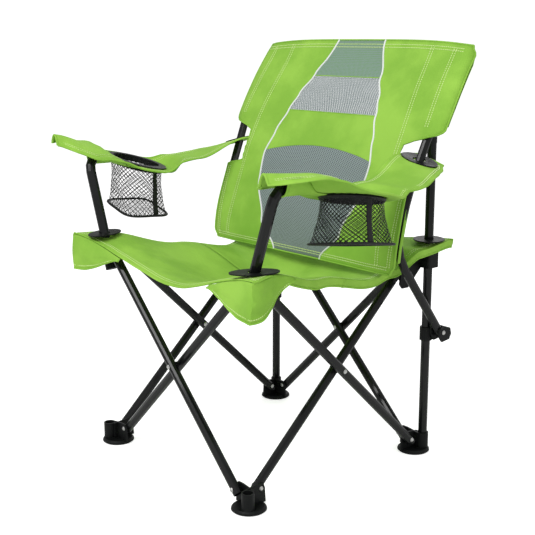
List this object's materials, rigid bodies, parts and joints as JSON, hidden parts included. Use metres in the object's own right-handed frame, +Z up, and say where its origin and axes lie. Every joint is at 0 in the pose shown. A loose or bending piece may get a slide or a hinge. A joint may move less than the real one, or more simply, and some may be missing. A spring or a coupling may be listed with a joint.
{
  "type": "folding camp chair",
  "caption": "Folding camp chair with scissor frame, sling seat, lumbar back with mesh window, two fabric arms and mesh cup pouches",
  "frame": {"origin": "on the floor, at the middle of the four feet and of the chair's plan box", "axes": "+Z up; the sitter faces -Y; +X is the sitter's left"},
  "size_m": [0.912, 0.614, 0.9038],
  "materials": {
    "green_fabric": "woven polyester, matt",
    "black_netting": "open diamond netting, satin",
    "black_tube": "gloss powder coat",
    "black_plastic": "fine moulded grain",
    "steel": "plated"
  },
  "bodies": {
    "foot_front_left": {"foot_front_left": "black_plastic", "foot_front_left_rivet_a": "steel", "foot_front_left_rivet_b": "steel"},
    "front_tube_outer": {"front_cross_outer": "black_tube", "front_cross_bolt": "steel", "front_cross_spacer": "black_plastic"},
    "front_tube_inner": {"front_cross_inner": "black_tube"},
    "foot_front_right": {"foot_front_right": "black_plastic", "foot_front_right_rivet_a": "steel", "foot_front_right_rivet_b": "steel"},
    "hub_front_left": {"front_hub_left": "black_plastic", "front_post_left": "black_tube", "seat_plate_front_left": "black_plastic", "corner_flap_left": "green_fabric"},
    "hub_front_right": {"front_hub_right": "black_plastic", "front_post_right": "black_tube", "seat_plate_front_right": "black_plastic", "corner_flap_right": "green_fabric"},
    "left_tube_inner": {"left_cross_inner": "black_tube", "left_cross_bolt": "steel", "left_cross_spacer": "black_plastic"},
    "left_tube_outer": {"left_cross_outer": "black_tube"},
    "foot_rear_left": {"foot_rear_left": "black_plastic", "foot_rear_left_rivet_a": "steel", "foot_rear_left_rivet_b": "steel", "rear_upright_left": "black_tube", "pole_clamp_left": "black_plastic", "pole_bolt_left": "steel"},
    "slider_rear_left": {"rear_slider_left": "black_plastic", "seat_plate_rear_left": "black_plastic"},
    "right_tube_outer": {"right_cross_outer": "black_tube", "right_cross_bolt": "steel", "right_cross_spacer": "black_plastic"},
    "right_tube_inner": {"right_cross_inner": "black_tube"},
    "foot_rear_right": {"foot_rear_right": "black_plastic", "foot_rear_right_rivet_a": "steel", "foot_rear_right_rivet_b": "steel", "rear_upright_right": "black_tube", "pole_clamp_right": "black_plastic", "pole_bolt_right": "steel"},
    "slider_rear_right": {"rear_slider_right": "black_plastic", "seat_plate_rear_right": "black_plastic"},
    "rear_tube_inner": {"rear_cross_inner": "black_tube", "rear_cross_bolt": "steel", "rear_cross_spacer": "black_plastic"},
    "rear_tube_outer": {"rear_cross_outer": "black_tube"},
    "pole_left": {"back_pole_left": "black_tube", "back_panel": "green_fabric", "arm_left": "green_fabric", "arm_plate_left": "black_plastic"},
    "pole_right": {"back_pole_right": "black_tube", "arm_right": "green_fabric", "arm_plate_right": "black_plastic"},
    "cup_left": {"cup_ring_left": "black_plastic", "cup_pouch_left": "black_netting"},
    "cup_right": {"cup_ring_right": "black_plastic", "cup_pouch_right": "black_netting"},
    "seat_front": {"seat_front_panel": "green_fabric"},
    "seat_rear": {"seat_rear_panel": "green_fabric"}
  },
  "joints": [
    {"name": "fold", "type": "hinge", "parent": "foot_front_left", "child": "front_tube_outer", "pos_m": [0.213, -0.253, 0.037], "axis": [0, 1, 0], "range_deg": [0, 39], "deforming": ["seat_front_panel", "seat_rear_panel", "back_panel", "arm_left", "arm_right", "corner_flap_left", "corner_flap_right", "cup_pouch_left", "cup_pouch_right"]},
    {"name": "front_scissor", "type": "hinge", "parent": "front_tube_outer", "child": "front_tube_inner", "pos_m": [0, -0.242, 0.242], "axis": [0, 1, 0], "range_deg": [-78.01, 0]},
    {"name": "front_right_foot_hinge", "type": "hinge", "parent": "front_tube_inner", "child": "foot_front_right", "pos_m": [-0.213, -0.231, 0.037], "axis": [0, 1, 0], "range_deg": [0, 39.01]},
    {"name": "front_left_hub_hinge", "type": "hinge", "parent": "front_tube_inner", "child": "hub_front_left", "pos_m": [0.213, -0.231, 0.447], "axis": [0, 1, 0], "range_deg": [0, 39.01]},
    {"name": "front_right_hub_hinge", "type": "hinge", "parent": "front_tube_outer", "child": "hub_front_right", "pos_m": [-0.213, -0.253, 0.447], "axis": [0, 1, 0], "range_deg": [-39.01, 0]},
    {"name": "left_foot_hinge", "type": "hinge", "parent": "foot_front_left", "child": "left_tube_inner", "pos_m": [0.231, -0.213, 0.037], "axis": [1, 0, 0], "range_deg": [0, 39.01]},
    {"name": "left_scissor", "type": "hinge", "parent": "left_tube_inner", "child": "left_tube_outer", "pos_m": [0.242, 0, 0.242], "axis": [1, 0, 0], "range_deg": [-78.01, 0]},
    {"name": "rear_left_foot_hinge", "type": "hinge", "parent": "left_tube_outer", "child": "foot_rear_left", "pos_m": [0.253, 0.213, 0.037], "axis": [1, 0, 0], "range_deg": [0, 39.01]},
    {"name": "rear_left_slider_hinge", "type": "hinge", "parent": "left_tube_inner", "child": "slider_rear_left", "pos_m": [0.231, 0.213, 0.447], "axis": [1, 0, 0], "range_deg": [-39.01, 0]},
    {"name": "right_foot_hinge", "type": "hinge", "parent": "foot_front_right", "child": "right_tube_outer", "pos_m": [-0.253, -0.213, 0.037], "axis": [1, 0, 0], "range_deg": [0, 39.01]},
    {"name": "right_scissor", "type": "hinge", "parent": "right_tube_outer", "child": "right_tube_inner", "pos_m": [-0.242, 0, 0.242], "axis": [1, 0, 0], "range_deg": [-78.01, 0]},
    {"name": "rear_right_foot_hinge", "type": "hinge", "parent": "right_tube_inner", "child": "foot_rear_right", "pos_m": [-0.231, 0.213, 0.037], "axis": [1, 0, 0], "range_deg": [0, 39.01]},
    {"name": "rear_right_slider_hinge", "type": "hinge", "parent": "right_tube_outer", "child": "slider_rear_right", "pos_m": [-0.253, 0.213, 0.447], "axis": [1, 0, 0], "range_deg": [-39.01, 0]},
    {"name": "rear_foot_hinge", "type": "hinge", "parent": "foot_rear_left", "child": "rear_tube_inner", "pos_m": [0.213, 0.231, 0.037], "axis": [0, 1, 0], "range_deg": [0, 39.01]},
    {"name": "rear_scissor", "type": "hinge", "parent": "rear_tube_inner", "child": "rear_tube_outer", "pos_m": [0, 0.242, 0.242], "axis": [0, 1, 0], "range_deg": [-78.01, 0]},
    {"name": "left_pole_hinge", "type": "hinge", "parent": "foot_rear_left", "child": "pole_left", "pos_m": [0.285, 0.26596, 0.28497], "axis": [1, 0, 0], "range_deg": [-7.81, 0]},
    {"name": "right_pole_hinge", "type": "hinge", "parent": "foot_rear_right", "child": "pole_right", "pos_m": [-0.285, 0.26596, 0.28497], "axis": [1, 0, 0], "range_deg": [-7.81, 0]},
    {"name": "left_cup_slide", "type": "slide", "parent": "pole_left", "child": "cup_left", "axis": [0.0995, 0.8772, 0.4698], "range_m": [0, 0.21049]},
    {"name": "right_cup_slide", "type": "slide", "parent": "pole_right", "child": "cup_right", "axis": [-0.0995, 0.8772, 0.4698], "range_m": [0, 0.21049]},
    {"name": "seat_front_drop", "type": "hinge", "parent": "hub_front_left", "child": "seat_front", "pos_m": [0.242, -0.242, 0.487], "axis": [1, 0, 0], "range_deg": [-61.48, 0]},
    {"name": "seat_rear_drop", "type": "hinge", "parent": "seat_front", "child": "seat_rear", "pos_m": [0.242, 0, 0.43], "axis": [1, 0, 0], "range_deg": [0, 122.94]}
  ],
  "couplings": [
    {"joint": "front_scissor", "follows": "fold", "ratio": -2},
    {"joint": "front_right_foot_hinge", "follows": "fold", "ratio": 1},
    {"joint": "front_left_hub_hinge", "follows": "fold", "ratio": 1},
    {"joint": "front_right_hub_hinge", "follows": "fold", "ratio": -1},
    {"joint": "left_foot_hinge", "follows": "fold", "ratio": 1},
    {"joint": "left_scissor", "follows": "fold", "ratio": -2},
    {"joint": "rear_left_foot_hinge", "follows": "fold", "ratio": 1},
    {"joint": "rear_left_slider_hinge", "follows": "fold", "ratio": -1},
    {"joint": "right_foot_hinge", "follows": "fold", "ratio": 1},
    {"joint": "right_scissor", "follows": "fold", "ratio": -2},
    {"joint": "rear_right_foot_hinge", "follows": "fold", "ratio": 1},
    {"joint": "rear_right_slider_hinge", "follows": "fold", "ratio": -1},
    {"joint": "rear_foot_hinge", "follows": "fold", "ratio": 1},
    {"joint": "rear_scissor", "follows": "fold", "ratio": -2},
    {"joint": "left_pole_hinge", "follows": "fold", "ratio": -0.2},
    {"joint": "right_pole_hinge", "follows": "fold", "ratio": -0.2},
    {"joint": "left_cup_slide", "follows": "fold", "m_per_rad": 0.30909},
    {"joint": "right_cup_slide", "follows": "fold", "m_per_rad": 0.30909},
    {"joint": "seat_front_drop", "follows": "fold", "ratio": -1.5761},
    {"joint": "seat_rear_drop", "follows": "fold", "ratio": 3.1521}
  ]
}
